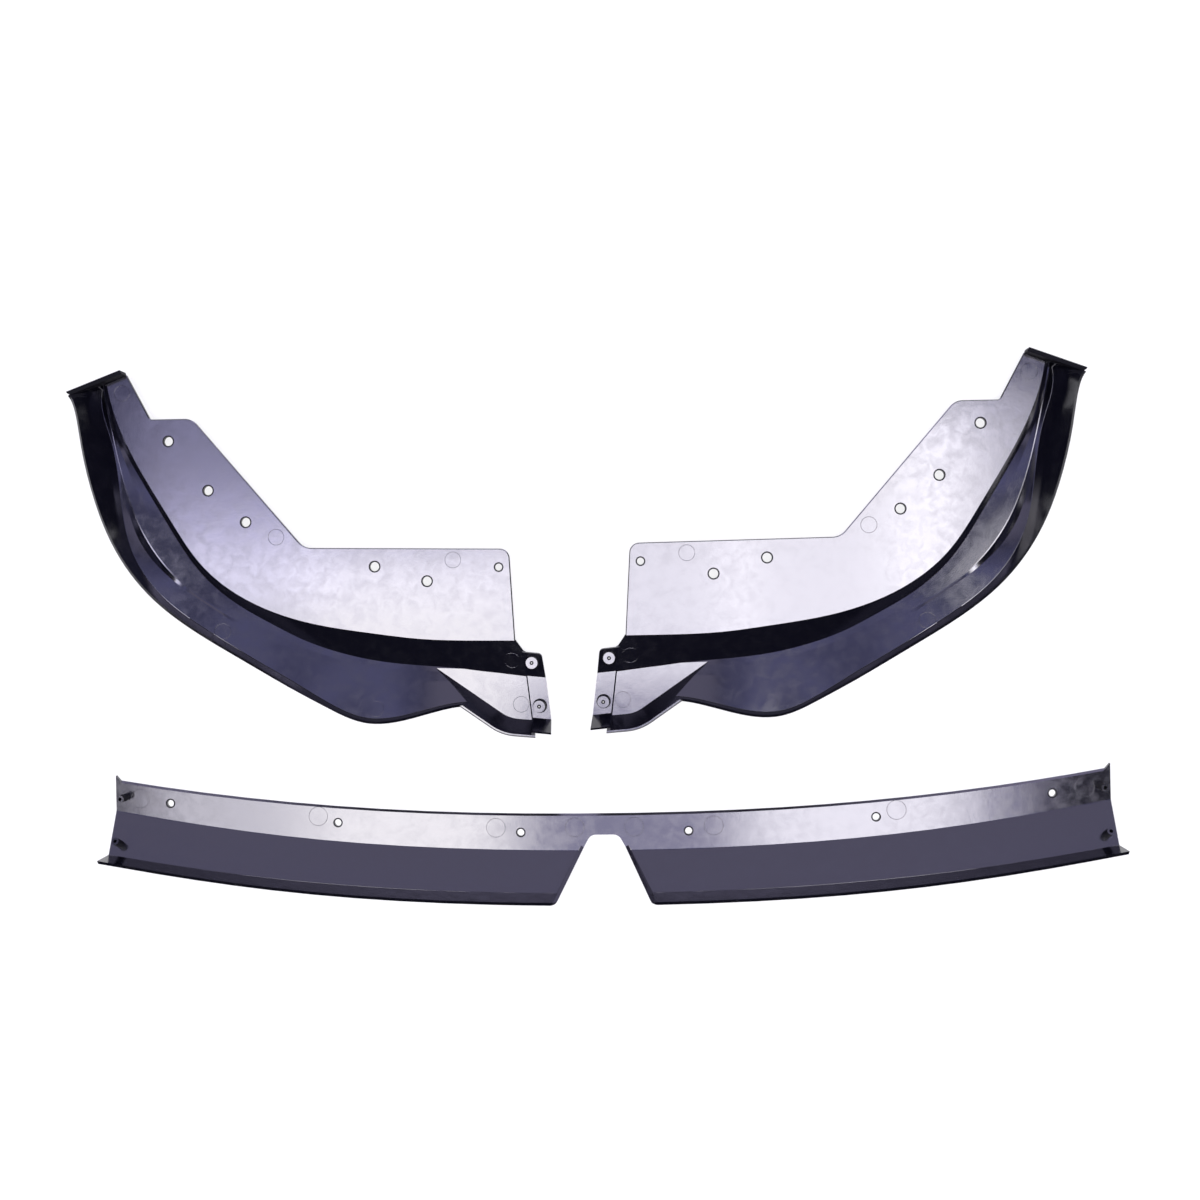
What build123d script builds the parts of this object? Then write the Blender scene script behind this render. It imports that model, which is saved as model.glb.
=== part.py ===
from build123d import *
import math
import os

# All sizes are in millimetres. The three mouldings lie on the ground as delivered, inner side up:
# x runs across the car, y towards the rear, z up. Each wing is drawn in its own frame, with its
# origin where the joint line meets the front fold, x outward and y rearward.

# shared sizes
wall = 3.0
flange_top = 16.0

# wing sizes
mount_hole = 8.5
locating_hole = 6.5
edge_bevel = 0.8
crease_overlap = 0.6
crease_bury = 0.8
crease_inset = 0.1
rim_edge = 2.4
rim_bevel = 1.8
ridge_flat = 0.9
foot_flat = 0.4
foot_shift = 1.2
space_sink = 1.0
underside_lift = 0.3
front_wall_rise = 19.0
front_wall_run = 11.6
fold_overrun = 0.3
joint_slant = 0.12
band_run = 33.0
floor_run = 39.3
tongue_length = 17.8
tongue_wall = 2.0
tongue_top = 22.0
tongue_round = 4.0
tongue_fall = 0.1
tongue_lower = 1.0
step_bevel = 1.2
bend_round = 30.0
joggle = 3.0
bond = 1.5
end_wall_top = 27.0
end_wall_edge = 0.6
end_wall_lap = 1.0
cup_base = 13.5
cup_top = 10.4
cup_wall = 1.8
cup_hole = 2.4
cup_rise = 8.5

# centre section sizes
half_span = 447.0
bow_power = 2.2
floor_rise = 17.0
lip_rise = 22.0
strip_hole = 6.5
boss_diameter = 6.6
boss_height = 12.0
boss_pilot = 3.2
boss_pilot_depth = 10.0
boss_inset = 9.0
floor_share = 0.725
notch_front = 42.5
notch_rear = 12.6
notch_round = 8.0
web_sink = 0.6
corner_round = 9.0
fold_round = 6.0
fold_overlap = 0.4
rear_bevel = 1.8
corner_flick = 4.0

# layout on the ground
wing_spacing = 82.0
wing_stagger = 3.7
centre_x = 28.0
centre_y = -143.6
centre_turn = 0.48

# far enough above or beyond everything to cut right through
clear = 60.0
standing = (Align.CENTER, Align.CENTER, Align.MIN)


def offset_path(points, distance):
    """Shifts an open path of 2-D points to its left by a distance, with mitred corners."""
    shifted = []
    for i, (x, y) in enumerate(points):
        headings = []
        if i > 0:
            headings.append(math.atan2(y - points[i - 1][1], x - points[i - 1][0]))
        if i < len(points) - 1:
            headings.append(math.atan2(points[i + 1][1] - y, points[i + 1][0] - x))
        turn = headings[-1] - headings[0]
        mid = headings[0] + math.remainder(turn, 2 * math.pi) / 2
        reach = distance / math.cos(math.remainder(turn, 2 * math.pi) / 2)
        shifted.append((x - reach * math.sin(mid), y + reach * math.cos(mid)))
    return shifted


def polygon(points, plane=Plane.XY):
    return plane * make_face(Polyline(*points, close=True))


def prism(points, bottom, top):
    """Upright block over a plan polygon."""
    return extrude(polygon(points, Plane.XY.offset(bottom)), top - bottom)


def upright(point, heading):
    """Upright plane through a plan point: its x runs along the heading, its y is up."""
    angle = math.radians(heading)
    along = (math.cos(angle), math.sin(angle), 0)
    return Plane(origin=(point[0], point[1], 0), x_dir=along, z_dir=(along[1], -along[0], 0))


def nearest(shape, x, y):
    return shape.vertices().sort_by_distance((x, y, 0))[0]


def peg(x, y, diameter, bottom, top):
    return Pos(x, y, bottom) * Cylinder(diameter / 2, top - bottom, align=standing)


# Wing sections from the rear tip to the joint. Each has the point on the flange crease, the outward
# heading, the distances from the crease to groove, ledge, ridge, valley, rim foot and rim top, and
# the heights of the same six.
floor_top = wall
front_top = floor_top + front_wall_rise
rim_top = flange_top + 9.5
ridge_top = flange_top - 1.0
wing_sections = [
    ((376.3, 268.5), -20.5, (2.5, 3.5, 4.5, 9, 11, 35), (12, 13.5, ridge_top, floor_top, 4.0, rim_top)),
    ((364.0, 225.0), -18.9, (5.0, 7.0, 9, 13, 16, 35.9), (11.5, 13.5, ridge_top, floor_top, 4.5, rim_top)),
    ((345.0, 187.0), -28.8, (6.0, 12.0, 19.5, 25.0, 28.5, 47.4), (11.0, 13.0, ridge_top, 5.0, 7.0, rim_top)),
    ((320.0, 145.5), -32.3, (6.5, 16.0, 28.5, 37.0, 45.5, 55.3), (10.5, 12.5, ridge_top, 9.0, 12.5, rim_top)),
    ((290.0, 102.0), -39.6, (7.5, 15.0, 25.5, 28.5, 45.5, 51.6), (9.4, 10.9, 12.9, 13.4, 16.5, rim_top)),
    ((250.0, 71.3), -57.1, (10.0, 16.0, 22.0, 25.0, 42.5, 48.2), (7.8, 9.2, 10.7, 11.5, 16.0, 24.5)),
    ((223.6, 59.3), -66.0, (12.8, 18.9, 25.2, 32.2, 46.6, 51.7), (5.9, 7.6, 9.4, 11.4, 15.4, 23.9)),
    ((197.0, 51.0), -75.0, (18.0, 24.0, 30.0, 42.0, 54.5, 59.9), (4.2, 5.8, 7.5, 11.1, 15.0, 23.5)),
    ((165.0, 44.5), -79.4, (22.8, 28.5, 37.3, 52.9, 67.7, 71.3), (3.4, 4.7, 7.0, 11.1, 15.0, 23.0)),
    ((133.0, 39.8), -82.6, (25.5, 31.0, 42.0, 60.0, 76.5, 80.5), (floor_top, 4.2, 6.8, 11.1, 15.0, 22.5)),
    ((98.0, 35.3), -86.0, (25.2, 30.0, 40.0, 55.0, 68.0, 72.6), (floor_top, 4.4, 7.3, 11.7, 15.5, front_top)),
    ((64.0, 33.3), -92.0, (26.2, 30.0, 38.0, 47.0, 56.5, 60.3), (floor_top, 4.6, 7.5, 11.5, 15.5, front_top)),
    ((28.0, 32.8), -95.3, (30.8, 34.3, 40.0, 47.0, 53.5, 57.0), (floor_top, 4.6, 7.5, 11.5, 15.5, front_top)),
    ((-8.0, 33.0), -96.8, (35.9, 38.8, 42.0, 47.0, 51.0, 54.5), (floor_top, 4.6, 7.5, 11.5, 15.5, front_top)),
]


def shell_section(point, heading, reach, height):
    """Closed wall section: buried in the flange at one end, standing rim at the other."""
    groove, ledge, ridge, valley, foot, rim = zip(reach, height)
    fall = 0.0
    if valley[1] > ridge[1]:
        fall = (valley[1] - ledge[1]) / (valley[0] - ledge[0])
    top = [(-crease_bury, flange_top - crease_inset), groove, ledge]
    for (d, z), lean, flat in ((ridge, fall, ridge_flat), (foot, 0.0, foot_flat)):
        for step in (-flat / 2, flat / 2):
            top.append((d + step, z + lean * step))
    top.insert(5, valley)
    top.append((rim[0] - rim_edge, rim[1]))
    skin = wall - underside_lift
    under = [(-crease_bury, flange_top - wall + crease_inset)]
    under += [(d, z - skin) for d, z in zip(reach, height)]
    under[-2] = (reach[-2] + foot_shift, height[-2] - skin)
    under[-1] = (reach[-1], height[-1] - rim_bevel)
    return polygon(top + under[::-1], upright(point, heading))


def space_section(point, heading, reach, height):
    """Open space over the blade, a little below its surface so that it stays inside the wall."""
    base = [(d, z - space_sink) for d, z in zip(reach, height)]
    base[-1] = (reach[-1] - rim_edge / 2, height[-1] - space_sink)
    return polygon(base + [(base[-1][0], clear), (base[0][0], clear)], upright(point, heading))


def make_wing():
    shell = loft([shell_section(*section) for section in wing_sections])
    shell -= Box(20 * clear, 20 * clear, clear, align=(Align.CENTER, Align.CENTER, Align.MAX))
    space = loft([space_section(*section) for section in wing_sections[5:]])

    # joint trough: flat floor and leaning front wall, cut out of a block
    lean = front_wall_run / front_wall_rise
    skin = wall / math.cos(math.atan(lean))
    corner = (15.7, -38.3)
    rear = [(56.0, 6.2), (0.0, -1.1), (-30.0, -5.0)]

    def trough(levels, setback):
        """Block inside the front wall: a thickness at each level, set back from the front fold."""
        back = [(x, y - setback) for x, y in rear]
        foot = [(-30.0, -42.1), corner, (81.2 - 1.4 * setback, 7.3 - setback)]
        faces = []
        for level, thickness in levels:
            spread = thickness + lean * (level - floor_top)
            line = offset_path(foot, -spread)
            face = polygon(line + back)
            faces.append(Pos(0, 0, level) * fillet(nearest(face, *line[1]), bend_round + spread))
        return loft(faces, ruled=True)

    shoulder = front_top - rim_bevel
    block = trough([(0.0, skin), (shoulder, skin), (front_top, skin - rim_edge)], wall) - space
    hollow = trough([(floor_top, 0.0), (clear, 0.0)], -fold_overrun)
    body = shell + block - hollow

    # joint end, square across the joint line, with a hollow corner up to the flange
    end_line = [(joint_slant * y - joggle, y) for y in (-clear, tongue_top)]
    end_line += [(1.5, 23.2), (3.0, 25.4), (7.5, 32.0)]
    body -= prism(end_line + [(7.5, clear), (-clear, clear), (-clear, -clear)], -1.0, clear)

    # flange
    tip_inner = (359.0, 275.5)
    free_edge = [(8.2, 31.5), (12.9, 113.9), (198.2, 117.0), (299.3, 235.0), (337.5, 235.0), tip_inner]
    along = []
    for (x, y), heading, _, _ in wing_sections[:-1]:
        angle = math.radians(heading)
        along.append((x + crease_overlap * math.cos(angle), y + crease_overlap * math.sin(angle)))
    crease_line = Spline(*along, (8.2, 32.0))
    start = crease_line @ 0
    end = crease_line @ 1
    outline = make_face(Polyline((end.X, end.Y), *free_edge[1:], (start.X, start.Y)) + crease_line)
    for (x, y), radius in zip(free_edge[1:5], (9.0, 15.0, 14.0, 3.0)):
        outline = fillet(nearest(outline, x, y), radius)
    flange = Pos(0, 0, flange_top - wall) * extrude(outline, wall)
    rims = [edge for edge in flange.edges().group_by(Axis.Z)[-1] if edge.geom_type != GeomType.BSPLINE]
    body += chamfer(rims, edge_bevel)

    # wall closing the rear tip
    point, heading, reach, height = wing_sections[0]
    low = [(-18.5, flange_top - wall / 2), (0.0, flange_top - wall / 2)]
    low += [(d, z - wall / 2) for d, z in zip(reach, height)]
    low[-1] = (reach[-1] - rim_edge / 2, end_wall_top - end_wall_lap)
    profile = low + [(low[-1][0], end_wall_top), (low[0][0], end_wall_top)]
    end_wall = extrude(polygon(profile, upright(point, heading)), -wall)
    top_edges = end_wall.edges().group_by(Axis.Z)[-1].filter_by(lambda edge: edge.length > 2 * wall)
    body += chamfer(top_edges.sort_by(Axis.Y)[0], wall - end_wall_edge)

    # joint tongue on top of the joint surfaces, with a bevelled step, drawn out along the folds
    slope = (flange_top - floor_top) / band_run
    path = [(tongue_top, floor_top + slope * tongue_top), (0.0, floor_top), (-floor_run, floor_top)]
    path.append((-floor_run - lean * (front_wall_rise - tongue_lower), front_top - tongue_lower))
    joint = Plane(origin=(0, 0, 0), x_dir=(joint_slant, 1, 0), z_dir=(1, -joint_slant, 0))
    inward = (-1.0, -tongue_fall, 0.0)
    root = offset_path(path, bond)
    brow = offset_path(path, step_bevel - tongue_wall)
    upper = offset_path(path, -tongue_wall)
    step = polygon(root + upper[::-1], joint.offset(-step_bevel))
    body += loft([polygon(root + brow[::-1], joint), step], ruled=True)
    body += extrude(step, joggle - step_bevel, dir=inward)
    start = polygon(path + upper[::-1], joint.offset(-step_bevel))
    tongue = extrude(start, tongue_length - step_bevel, dir=inward)
    tip = (joint_slant * tongue_top - tongue_length, tongue_top - tongue_fall * tongue_length, flange_top)
    short = tongue.edges().filter_by(lambda edge: edge.length < 2 * wall)
    body += fillet(short.sort_by_distance(tip)[0], tongue_round)
    for share, y, base in ((0.45, 12.0, floor_top + slope * 12.0), (0.51, -27.2, floor_top)):
        x = joint_slant * y - share * tongue_length
        height = tongue_wall + cup_rise
        top = base + height
        body += Pos(x, y, base) * Cone(cup_base / 2, cup_top / 2, height, align=standing)
        body -= peg(x, y, cup_top - 2 * cup_wall, base - 2 * wall, top - cup_wall)
        body -= peg(x, y, cup_hole, base, top + 1.0)

    # mounting holes
    for x, y in ((320.7, 214.8), (284.7, 169.8), (250.6, 140.8), (133.8, 99.4), (86.6, 85.8)):
        body -= peg(x, y, mount_hole, 0.0, clear)
    body -= peg(22.2, 97.6, locating_hole, 0.0, clear)
    return body


def make_centre():
    # y of each line in the middle and how far it has swept back at the ends
    lines = {"rear": (18.8, 35.7), "fold": (-14.0, 40.6), "crease": (-48.2, 38.0), "edge": (-54.2, 40.4)}

    def at(name, x):
        middle, sweep = lines[name]
        return middle + sweep * abs(x / half_span) ** bow_power

    # flat mounting strip, its rear corners drawn out to a point
    shares = (-1.0, -0.7, -0.35, 0.0, 0.35, 0.7, 1.0)
    inner = half_span - corner_flick
    rear = Spline(*[(share * inner, at("rear", inner * share)) for share in shares])
    front = Spline(*[(share * half_span, at("fold", share * half_span) - fold_overlap) for share in shares])
    corner = at("rear", half_span) + corner_flick
    outline = rear + front
    for end, x in ((0, -half_span), (1, half_span)):
        outline += Polyline(rear @ end, (x, corner), front @ end)
    strip = extrude(make_face(outline), wall)
    rear_edge = strip.edges().group_by(Axis.Z)[-1].sort_by_distance((0, at("rear", 0), wall))[0]
    strip = chamfer(rear_edge, rear_bevel)

    # sloped floor and front wall, rounded where the floor leaves the strip
    crest = wall + floor_rise
    lip_top = crest + lip_rise
    faces = []
    for share in shares:
        x = share * half_span
        fold = at("fold", x)
        edge = at("edge", x)
        top = [(fold + fold_round, wall), (fold, wall), (at("crease", x), crest), (edge + wall, lip_top)]
        under = offset_path(top, wall)
        under[-1] = (edge, lip_top - rim_bevel)
        top[0] = (fold + fold_round, wall / 2)
        under.pop(0)
        face = polygon(top + under[::-1])
        face = fillet(nearest(face, fold, wall), fold_round)
        faces.append(Plane(origin=(x, 0, 0), x_dir=(0, 1, 0), z_dir=(1, 0, 0)) * face)
    body = strip + loft(faces)

    # notch in the middle, wider towards the front, with a wall along each side that joins the front wall
    front_y = at("edge", notch_front)
    far = 2 * notch_front
    half = [(notch_rear, 0.0), (notch_front, front_y), (far, front_y), (far, -2 * clear)]
    notch = polygon(half + [(-x, y) for x, y in half[::-1]])
    for side in (-1, 1):
        for (x, y), radius in zip(half, (notch_round, corner_round)):
            notch = fillet(nearest(notch, side * x, y), radius)
    heading = math.degrees(math.atan2(front_y, notch_front - notch_rear))
    to_front = math.dist(*half[:2]) / -front_y
    start = to_front * (notch_round - at("fold", 0)) / 2
    foot = to_front * (wall / 2 - at("crease", 0))
    brow = to_front * -(at("edge", 0) + wall / 2)
    web = [(start, web_sink), (foot, crest - wall + web_sink), (brow, lip_top), (start, wall)]
    web = extrude(polygon(web, upright(half[0], heading)), -wall)
    body += web + mirror(web, about=Plane.YZ)
    body -= Pos(0, 0, -1.0) * extrude(notch, clear)

    # screw bosses square to their strips, and mounting holes
    floor_lean = math.degrees(math.atan2(floor_rise, at("fold", half_span) - at("crease", half_span)))
    reach = half_span - boss_inset
    strip_spot = (at("rear", reach) + at("fold", reach)) / 2
    floor_spot = at("fold", reach) + floor_share * (at("crease", reach) - at("fold", reach))
    for side in (-1, 1):
        floor_z = wall + floor_rise * floor_share
        for y, z, lean in ((strip_spot, wall, 0.0), (floor_spot, floor_z, floor_lean)):
            place = Pos(side * reach, y, z) * Rot(-lean, 0, 0)
            body += place * peg(0, 0, boss_diameter, -1.0, boss_height)
            body -= place * peg(0, 0, boss_pilot, boss_height - boss_pilot_depth, boss_height + 1.0)
        for inset, offset in ((50.5, 0.9), (205.0, 1.1), (371.5, -0.4)):
            x = half_span - inset
            y = (at("rear", x) + at("fold", x)) / 2 + offset
            body -= peg(side * x, y, strip_hole, -1.0, clear)
    return body


right = make_wing()
left = mirror(right, about=Plane.YZ)
pieces = {
    "right_corner_lip": Pos(wing_spacing / 2, wing_stagger, 0) * right,
    "left_corner_lip": Pos(-wing_spacing / 2, 0, 0) * left,
    "centre_lip": Pos(centre_x, centre_y, 0) * Rot(0, 0, centre_turn) * make_centre(),
}

# the shared frame has its origin under the middle of the whole layout
box = (Part() + list(pieces.values())).bounding_box()
shift = Pos(-box.center().X, -box.center().Y, 0)
os.makedirs("parts", exist_ok=True)
for name, piece in pieces.items():
    export_step(shift * piece, f"parts/{name}.step")
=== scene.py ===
import math

import bpy
from mathutils import Matrix, Vector


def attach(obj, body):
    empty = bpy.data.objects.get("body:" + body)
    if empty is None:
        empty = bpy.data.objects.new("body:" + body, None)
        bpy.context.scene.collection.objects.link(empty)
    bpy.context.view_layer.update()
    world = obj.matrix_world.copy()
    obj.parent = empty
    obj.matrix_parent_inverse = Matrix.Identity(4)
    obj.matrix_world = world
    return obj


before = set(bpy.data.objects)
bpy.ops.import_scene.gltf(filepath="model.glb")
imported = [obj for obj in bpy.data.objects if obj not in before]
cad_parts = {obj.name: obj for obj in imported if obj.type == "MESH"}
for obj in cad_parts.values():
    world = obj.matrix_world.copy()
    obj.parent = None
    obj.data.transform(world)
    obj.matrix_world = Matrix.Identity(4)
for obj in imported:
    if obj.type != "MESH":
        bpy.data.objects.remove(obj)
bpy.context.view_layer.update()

# All lengths are in metres, in the shared frame unless a comment names another.

# Camera: above the set, looking almost straight down and a little to the left.
CAMERA_PLACE = Vector((0.06223, 0.0249, 1.0503))
CAMERA_LENS_MM = 35.0
SENSOR_MM = 36.0
CAMERA_TILT = math.radians(2.647)
CAMERA_TURN = math.radians(-0.64)
CAMERA_NEAR = 0.01

# Soft boxes overhead. Each is given by the slopes, across and along, at which a flat face mirrors its
# sides into the camera, then by its share of the full radiance and its colour. Each hangs a step higher
# than the one before it, so that no two lie in one plane.
BOX_HEIGHT = 1.6
BOX_STEP = 0.01
BOX_RADIANCE = 17.0
WARM = (0.95, 0.92, 0.86)
PALE = (0.95, 0.92, 0.94)
NEUTRAL = (0.97, 0.94, 0.95)
COOL = (0.68, 0.65, 1.0)
NAVY = (0.48, 0.48, 1.0)
SOFT_BOXES = {
    "backdrop_left": ((-0.45, -0.30), (-0.34, 0.18), 0.20, COOL),
    "backdrop_middle": ((-0.30, 0.20), (-0.34, 0.10), 0.20, COOL),
    "backdrop_right": ((0.20, 0.32), (-0.34, 0.18), 0.20, COOL),
    "left_box": ((-0.29, -0.125), (-0.34, 0.03), 0.27, WARM),
    "left_box_rim": ((-0.31, -0.11), (-0.34, 0.06), 0.27, WARM),
    "left_edge": ((-0.44, -0.30), (-0.34, 0.05), 0.27, WARM),
    "left_fade_low": ((-0.44, -0.12), (0.0, 0.08), 0.15, COOL),
    "left_fade_high": ((-0.44, -0.28), (0.0, 0.11), 0.13, COOL),
    "middle_box": ((-0.12, 0.08), (-0.075, 0.09), 0.48, PALE),
    "right_box": ((0.08, 0.26), (-0.34, 0.15), 0.25, NEUTRAL),
    "right_box_rim": ((0.06, 0.28), (-0.34, 0.17), 0.25, NEUTRAL),
    "right_edge": ((0.20, 0.38), (-0.05, 0.17), 0.20, NEUTRAL),
    "rear_gap": ((-0.60, 0.60), (0.12, 0.205), 0.040, NAVY),
    "rear_sheet": ((-0.60, 0.60), (0.205, 0.36), 0.055, NAVY),
    "rear_glow": ((-0.60, 0.60), (0.215, 0.265), 0.045, NAVY),
}

# Large, dim lamps behind the set, aimed at its middle: place, size and radiance.
FILL_COLOUR = (0.70, 0.65, 1.0)
FILLS = {
    "rear_fill": ((0.0, 2.6, 1.6), (4.0, 3.0), 1.25),
    "rear_low": ((0.0, 3.6, 0.35), (7.0, 0.6), 3.4),
}
ROOM_COLOUR = (0.75, 0.8, 1.0, 1.0)
ROOM_STRENGTH = 0.01

# White floor, and how much of it is plain white to the camera and in the gloss.
FLOOR_SIZE = 12.0
FLOOR_COLOUR = (0.9, 0.9, 0.9, 1.0)
FLOOR_WHITE = 1.0
FLOOR_WHITE_SHARE = 0.8

# Finish: noises by scale, detail and distortion, and how deep each stands as a bump.
BLACK = (0.002, 0.002, 0.004, 1.0)
GLOSS_SPECULAR = 1.0
SMUDGE = (24.0, 6.0, 0.5)
SMUDGE_DEPTH = 0.0001
MOTTLE = (110.0, 8.0, 0.6)
MOTTLE_DEPTH = 0.00002
GRAIN = (900.0, 2.0, 0.0)
GRAIN_DEPTH = 0.000012
MOTTLE_RANGE = (0.38, 0.66)
GLOSS_ROUGHNESS = (0.13, 0.20)
# Darker copy of the plastic, less glossy and rougher: painted shade where faces are to look dark.
PAINTED_SHADE_SPECULAR = 0.2
PAINTED_SHADE_ROUGHNESS = 0.6

# Places of the mouldings.
BODY = "root"
WING_ORIGIN = {"right_corner_lip": (0.02849, -0.03812), "left_corner_lip": (-0.05351, -0.04182)}
WING_SIDE = {"right_corner_lip": 1.0, "left_corner_lip": -1.0}
SIDES = (-1.0, 1.0)
CENTRE_ORIGIN = (0.01549, -0.18542)
CENTRE_TURN = math.radians(0.48)
CENTRE_HALF = 0.447
CENTRE_MIDDLE = 0.0024
CENTRE_SWEEP = 0.03815
CENTRE_POWER = 2.2

# Height from which the upper side of a moulding is looked for.
ABOVE_ALL = 0.2

# Hole places and radii, and ejector marks: on a wing in its own frame, on the centre section by the
# distance from its end and from the strip's middle line.
WING_HOLES = [(0.3207, 0.2148), (0.2847, 0.1698), (0.2506, 0.1408), (0.1338, 0.0994), (0.0866, 0.0858)]
WING_HOLE = 0.00425
CORNER_HOLE = (0.0222, 0.0976)
CUPS = [(-0.00657, 0.012), (-0.01234, -0.0272)]
CUP_HOLE = 0.0012
WING_MARKS = [(0.363, 0.259), (0.223, 0.127), (0.0632, 0.1045), (0.0048, -0.026), (0.012, 0.0139)]
BLADE_MARKS = [(0.2732, 0.0427), (0.1347, -0.0283)]
WING_MARK = 0.0071
STRIP_HOLES = [(0.0505, 0.0009), (0.205, 0.0011), (0.3715, -0.0004)]
STRIP_HOLE = 0.00325
STRIP_MARKS = [(0.0225, 0.001), (0.187, 0.0054), (0.349, 0.0035), (0.4203, 0.0044)]
STRIP_MARK = 0.0085

# Beads: half their width, the gap to a hole's edge, their rise as a share of the half width, and how
# finely they are divided.
EDGE_BEAD = 0.0006
MARK_BEAD = 0.00022
EDGE_GAP = 0.0005
BEAD_RISE = 0.6
RING_TURNS = 40
RING_SIDES = 8

# Crease of the centre section: its line in the middle and how far it has swept back at the ends.
CREASE = (-0.0482, 0.0380)
CREASE_HEIGHT = 0.020
CREASE_BEAD = 0.00035
CREASE_START = 0.046
CREASE_STEPS = 60
CREASE_SIDES = 6

# Painted shade, by a darker copy of the plastic: the sides of cups and screw bosses, the thin level edge
# at the foot of a wing's rim and the wall that closes a wing's tip. The normal of a side rises less than
# its limit, that of a level face more.
CUP_REACH = 0.008
CUP_SIDE = 0.5
STRIP_BOSSES = [(0.438, 0.0389), (0.438, -0.0018)]
BOSS_REACH = 0.0075
BOSS_SIDE = 0.8
TIP = (0.3763, 0.2685)
TIP_HEADING = math.radians(-20.5)
TIP_WALL = 0.0035
FLANGE_TOP = 0.016
LEVEL_RISE = 0.995
LEVEL_GAP = 0.0002
FOOT_HEIGHTS = (0.0145, 0.0172)
FOOT_END = 0.30


def add_camera():
    data = bpy.data.cameras.new("camera")
    data.lens = CAMERA_LENS_MM
    data.sensor_width = SENSOR_MM
    data.sensor_fit = "HORIZONTAL"
    data.clip_start = CAMERA_NEAR
    camera = bpy.data.objects.new("camera", data)
    bpy.context.collection.objects.link(camera)
    turn = Matrix.Rotation(CAMERA_TURN, 4, "Z") @ Matrix.Rotation(CAMERA_TILT, 4, "Y")
    camera.matrix_world = Matrix.Translation(CAMERA_PLACE) @ turn
    bpy.context.scene.camera = camera


def add_lamp(name, size, radiance, colour):
    """Rectangular lamp of an even radiance."""
    data = bpy.data.lights.new(name, "AREA")
    data.shape = "RECTANGLE"
    data.size, data.size_y = size
    data.energy = radiance * math.pi * size[0] * size[1]
    data.color = colour
    lamp = bpy.data.objects.new(name, data)
    bpy.context.collection.objects.link(lamp)
    return lamp


def add_soft_box(name, height, across, along, level, colour):
    """Lamp overhead, facing down, placed by the slopes at which a flat face mirrors it into the camera."""
    reach = CAMERA_PLACE.z + height
    size = ((across[1] - across[0]) * reach, (along[1] - along[0]) * reach)
    lamp = add_lamp(name, size, BOX_RADIANCE * level, colour)
    middle = Vector((sum(across) / 2, sum(along) / 2, 0.0)) * reach
    lamp.location = (CAMERA_PLACE.x + middle.x, CAMERA_PLACE.y + middle.y, height)


def add_fill(name, place, size, radiance):
    """Lamp at a place, aimed at the middle of the set."""
    lamp = add_lamp(name, size, radiance, FILL_COLOUR)
    lamp.location = place
    lamp.rotation_euler = (-Vector(place)).to_track_quat("-Z", "Y").to_euler()


def add_lights():
    for i, (name, (across, along, level, colour)) in enumerate(SOFT_BOXES.items()):
        add_soft_box(name, BOX_HEIGHT + i * BOX_STEP, across, along, level, colour)
    for name, (place, size, radiance) in FILLS.items():
        add_fill(name, place, size, radiance)


def add_room():
    """Dim, even light from all round."""
    world = bpy.data.worlds.new("studio")
    world.use_nodes = True
    background = world.node_tree.nodes["Background"]
    background.inputs["Color"].default_value = ROOM_COLOUR
    background.inputs["Strength"].default_value = ROOM_STRENGTH
    bpy.context.scene.world = world


def add_stage():
    """White floor: mostly plain white to the camera and in the gloss, so that a faint shadow is left."""
    bpy.ops.mesh.primitive_plane_add(size=FLOOR_SIZE, location=(0.0, 0.0, 0.0))
    floor = bpy.context.object
    floor.name = "floor"
    material = bpy.data.materials.new("white_floor")
    material.use_nodes = True
    nodes = material.node_tree.nodes
    links = material.node_tree.links
    nodes.clear()
    rays = nodes.new("ShaderNodeLightPath")
    seen = rays.outputs["Is Camera Ray"]
    for kind in ("Is Glossy Ray", "Is Transmission Ray"):
        either = nodes.new("ShaderNodeMath")
        either.operation = "MAXIMUM"
        links.new(seen, either.inputs[0])
        links.new(rays.outputs[kind], either.inputs[1])
        seen = either.outputs["Value"]
    share = nodes.new("ShaderNodeMath")
    share.operation = "MULTIPLY"
    share.inputs[1].default_value = FLOOR_WHITE_SHARE
    links.new(seen, share.inputs[0])
    paper = nodes.new("ShaderNodeBsdfDiffuse")
    paper.inputs["Color"].default_value = FLOOR_COLOUR
    glow = nodes.new("ShaderNodeEmission")
    glow.inputs["Strength"].default_value = FLOOR_WHITE
    mix = nodes.new("ShaderNodeMixShader")
    links.new(share.outputs["Value"], mix.inputs["Fac"])
    links.new(paper.outputs["BSDF"], mix.inputs[1])
    links.new(glow.outputs["Emission"], mix.inputs[2])
    output = nodes.new("ShaderNodeOutputMaterial")
    links.new(mix.outputs["Shader"], output.inputs["Surface"])
    floor.data.materials.append(material)


def noise(nodes, links, place, scale, detail, distortion):
    """Noise over the part's own coordinates, as a value socket."""
    node = nodes.new("ShaderNodeTexNoise")
    node.inputs["Scale"].default_value = scale
    node.inputs["Detail"].default_value = detail
    node.inputs["Distortion"].default_value = distortion
    links.new(place, node.inputs["Vector"])
    return node.outputs["Fac"]


def bump(nodes, links, height, depth, normal=None):
    """Bump of a depth, on top of another bump's normal where one is given."""
    node = nodes.new("ShaderNodeBump")
    node.inputs["Distance"].default_value = depth
    links.new(height, node.inputs["Height"])
    if normal:
        links.new(normal, node.inputs["Normal"])
    return node.outputs["Normal"]


def black_plastic(name, specular):
    material = bpy.data.materials.new(name)
    material.use_nodes = True
    shader = material.node_tree.nodes["Principled BSDF"]
    shader.inputs["Base Color"].default_value = BLACK
    shader.inputs["Specular IOR Level"].default_value = specular
    return material, shader


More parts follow.
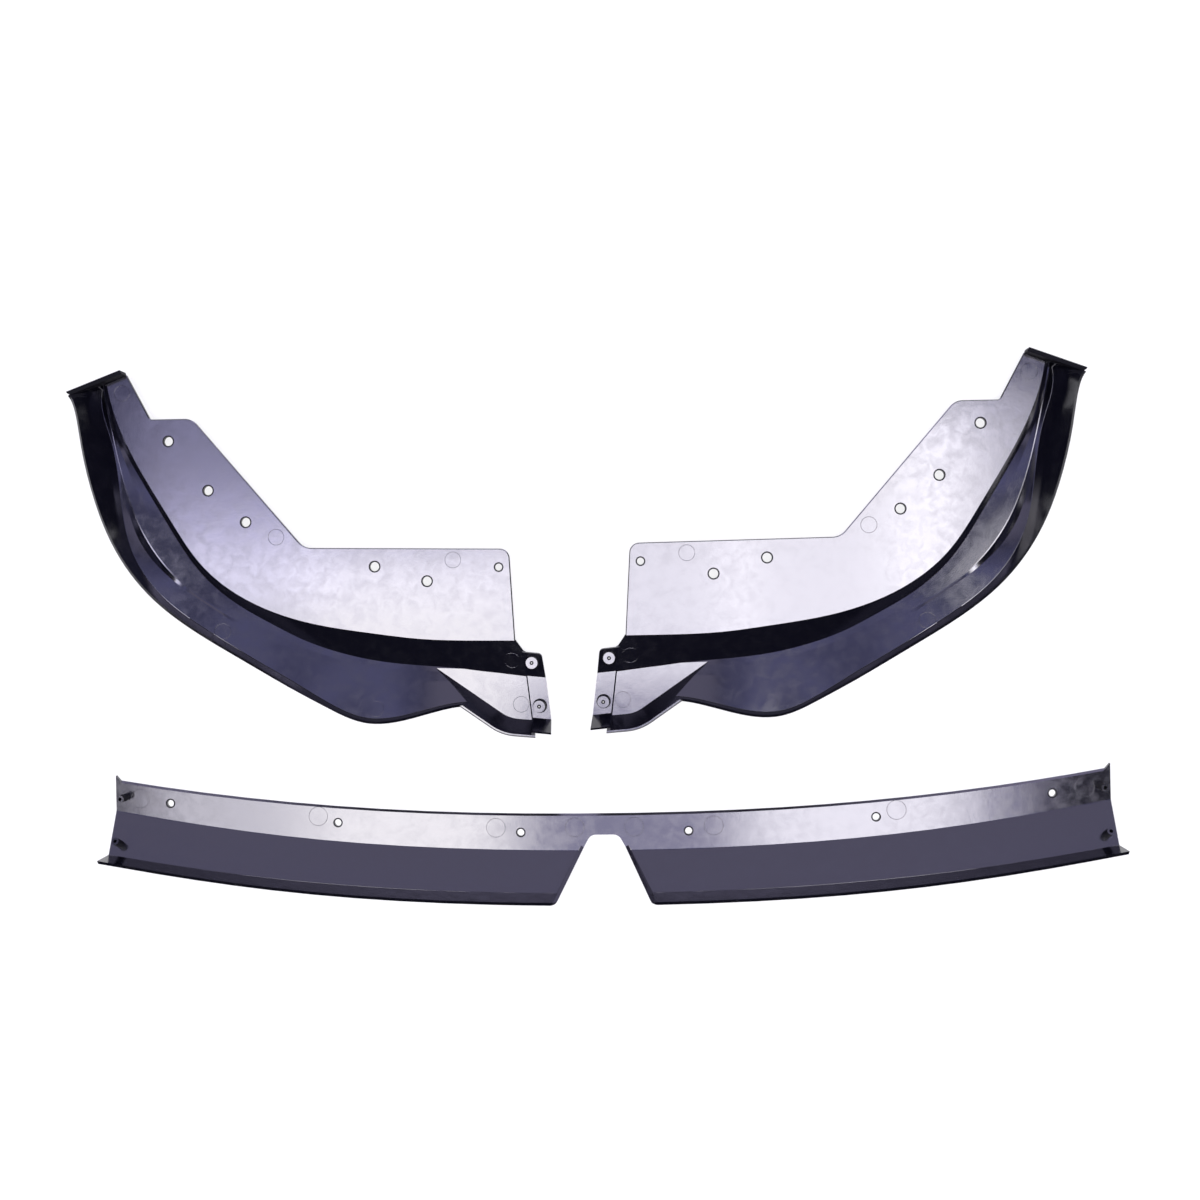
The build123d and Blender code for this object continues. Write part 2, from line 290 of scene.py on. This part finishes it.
def gloss_plastic():
    """Black moulded plastic: glossy, a little wavy, smudged and finely grained."""
    material, shader = black_plastic("gloss_black_plastic", GLOSS_SPECULAR)
    nodes = material.node_tree.nodes
    links = material.node_tree.links
    place = nodes.new("ShaderNodeTexCoord").outputs["Object"]
    smudge = noise(nodes, links, place, *SMUDGE)
    mottle = noise(nodes, links, place, *MOTTLE)
    grain = noise(nodes, links, place, *GRAIN)
    wavy = bump(nodes, links, smudge, SMUDGE_DEPTH)
    wavy = bump(nodes, links, mottle, MOTTLE_DEPTH, wavy)
    wavy = bump(nodes, links, grain, GRAIN_DEPTH, wavy)
    links.new(wavy, shader.inputs["Normal"])
    rough = nodes.new("ShaderNodeMapRange")
    rough.inputs["From Min"].default_value, rough.inputs["From Max"].default_value = MOTTLE_RANGE
    rough.inputs["To Min"].default_value, rough.inputs["To Max"].default_value = GLOSS_ROUGHNESS
    links.new(mottle, rough.inputs["Value"])
    links.new(rough.outputs["Result"], shader.inputs["Roughness"])
    return material


def painted_shade_plastic():
    """Darker copy of the same plastic, with little gloss: painted shade."""
    material, shader = black_plastic("painted_shade_black_plastic", PAINTED_SHADE_SPECULAR)
    shader.inputs["Roughness"].default_value = PAINTED_SHADE_ROUGHNESS
    return material


def on_wing(node, spot):
    """A place in a wing's own frame, in the shared frame."""
    x, y = WING_ORIGIN[node]
    return (x + WING_SIDE[node] * spot[0], y + spot[1])


def in_centre(spot):
    """A place in the centre section's own frame, in the shared frame."""
    return Vector(CENTRE_ORIGIN) + Matrix.Rotation(CENTRE_TURN, 2) @ spot


def on_strip(side, inset, offset):
    """A place on the centre strip: its distance from the end on that side and from the middle line."""
    along = CENTRE_HALF - inset
    across = CENTRE_MIDDLE + CENTRE_SWEEP * (along / CENTRE_HALF) ** CENTRE_POWER + offset
    return in_centre(Vector((side * along, across)))


def surface(node, spot, radius):
    """Point and normal of a node's upper side at a place, seen just outside a ring of that radius."""
    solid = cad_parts[node]
    back = solid.matrix_world.inverted()
    down = (back.to_3x3() @ Vector((0.0, 0.0, -1.0))).normalized()
    hit, place, normal, _ = solid.ray_cast(back @ Vector((spot[0] + radius, spot[1], ABOVE_ALL)), down)
    if not hit:
        raise ValueError(f"nothing of {node} under {spot}")
    normal = (solid.matrix_world.to_3x3() @ normal).normalized()
    place = solid.matrix_world @ place
    middle = Vector((spot[0], spot[1], place.z))
    middle.z += (place - middle).dot(normal) / normal.z
    return middle, normal


def add_piece(name, points, faces, material):
    """Smooth mesh that rides on the part."""
    mesh = bpy.data.meshes.new(name)
    mesh.from_pydata(points, [], faces)
    mesh.polygons.foreach_set("use_smooth", [True] * len(faces))
    mesh.materials.append(material)
    piece = bpy.data.objects.new(name, mesh)
    bpy.context.collection.objects.link(piece)
    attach(piece, BODY)


def add_rings(name, node, rings, bead, material):
    """Thin raised beads round places on a node's surface, as one piece."""
    points = []
    faces = []
    for spot, radius in rings:
        middle, normal = surface(node, spot, radius + 2 * bead)
        turn = Vector((0.0, 0.0, 1.0)).rotation_difference(normal).to_matrix()
        first = len(points)
        for i in range(RING_TURNS):
            a = 2 * math.pi * i / RING_TURNS
            for j in range(RING_SIDES):
                b = 2 * math.pi * j / RING_SIDES
                reach = radius + bead * math.cos(b)
                rise = BEAD_RISE * bead * math.sin(b)
                points.append(middle + turn @ Vector((reach * math.cos(a), reach * math.sin(a), rise)))
        for i in range(RING_TURNS):
            ahead = (i + 1) % RING_TURNS
            for j in range(RING_SIDES):
                beside = (j + 1) % RING_SIDES
                corners = ((i, j), (ahead, j), (ahead, beside), (i, beside))
                faces.append([first + u * RING_SIDES + v for u, v in corners])
    add_piece(name, points, faces, material)


def add_creases(material):
    """Rounded crease between the centre section's floor and its front wall, on both sides of the notch."""
    middle, sweep = CREASE
    points = []
    faces = []
    for start, end in ((-CENTRE_HALF, -CREASE_START), (CREASE_START, CENTRE_HALF)):
        first = len(points)
        for i in range(CREASE_STEPS + 1):
            along = start + (end - start) * i / CREASE_STEPS
            across = middle + sweep * abs(along / CENTRE_HALF) ** CENTRE_POWER
            place = in_centre(Vector((along, across)))
            for j in range(CREASE_SIDES):
                a = 2 * math.pi * j / CREASE_SIDES
                rise = CREASE_HEIGHT + CREASE_BEAD * math.sin(a)
                points.append((place.x, place.y + CREASE_BEAD * math.cos(a), rise))
        for i in range(CREASE_STEPS):
            for j in range(CREASE_SIDES):
                beside = (j + 1) % CREASE_SIDES
                corners = ((i, j), (i, beside), (i + 1, beside), (i + 1, j))
                faces.append([first + u * CREASE_SIDES + v for u, v in corners])
    add_piece("centre_lip_creases", points, faces, material)


def is_near(middle, spots, reach):
    return min((middle.xy - spot).length for spot in spots) < reach


def on_foot(name, middle, normal):
    """Whether a face is on the level edge at the foot of a wing's rim."""
    low, high = FOOT_HEIGHTS
    along = WING_SIDE[name] * (middle.x - WING_ORIGIN[name][0])
    level = normal.z > LEVEL_RISE and low < middle.z < high
    return level and along < FOOT_END and abs(middle.z - FLANGE_TOP) > LEVEL_GAP


def on_tip_wall(name, middle):
    """Whether a face is on the wall that closes a wing's tip."""
    back = middle.xy - Vector(on_wing(name, TIP))
    behind = -WING_SIDE[name] * back.x * math.sin(TIP_HEADING) + back.y * math.cos(TIP_HEADING)
    return middle.z > FLANGE_TOP + LEVEL_GAP and abs(behind) < TIP_WALL


def is_painted_shade(name, middle, normal):
    """Whether a face gets the painted shade of the darker plastic."""
    if name not in WING_SIDE:
        bosses = [in_centre(Vector((side * x, y))) for side in SIDES for x, y in STRIP_BOSSES]
        return is_near(middle, bosses, BOSS_REACH) and abs(normal.z) < BOSS_SIDE
    cups = [Vector(on_wing(name, cup)) for cup in CUPS]
    if is_near(middle, cups, CUP_REACH):
        return abs(normal.z) < CUP_SIDE
    return on_foot(name, middle, normal) or on_tip_wall(name, middle)


def dress(gloss, painted_shade):
    """Gloss on all, and painted shade in the darker plastic on the sides of cups and bosses, a rim's foot
    and a tip's wall.
    """
    for name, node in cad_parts.items():
        node.data.materials.clear()
        node.data.materials.append(gloss)
        node.data.materials.append(painted_shade)
        place = node.matrix_world
        for face in node.data.polygons:
            face.material_index = int(is_painted_shade(name, place @ face.center, place.to_3x3() @ face.normal))


def add_marks(gloss, painted_shade):
    """Beads round the hole and cup edges, their rounding real and their darkness painted shade, and the
    thin rings that the mould's ejector pins left.
    """
    for node in WING_SIDE:
        holes = [(on_wing(node, spot), WING_HOLE + EDGE_GAP) for spot in WING_HOLES]
        holes.append((on_wing(node, CORNER_HOLE), STRIP_HOLE + EDGE_GAP))
        add_rings(f"{node}_hole_edges", node, holes, EDGE_BEAD, painted_shade)
        cups = [(on_wing(node, spot), CUP_HOLE) for spot in CUPS]
        add_rings(f"{node}_cup_edges", node, cups, EDGE_BEAD, painted_shade)
        marks = [(on_wing(node, spot), WING_MARK) for spot in WING_MARKS + BLADE_MARKS]
        add_rings(f"{node}_marks", node, marks, MARK_BEAD, gloss)
    holes = [(on_strip(side, *spot), STRIP_HOLE + EDGE_GAP) for side in SIDES for spot in STRIP_HOLES]
    add_rings("centre_lip_hole_edges", "centre_lip", holes, EDGE_BEAD, painted_shade)
    marks = [(on_strip(side, *spot), STRIP_MARK) for side in SIDES for spot in STRIP_MARKS]
    add_rings("centre_lip_marks", "centre_lip", marks, MARK_BEAD, gloss)


add_camera()
add_stage()
add_lights()
add_room()
bpy.context.scene.view_settings.view_transform = "Standard"
gloss = gloss_plastic()
painted_shade = painted_shade_plastic()
dress(gloss, painted_shade)
add_marks(gloss, painted_shade)
add_creases(gloss)
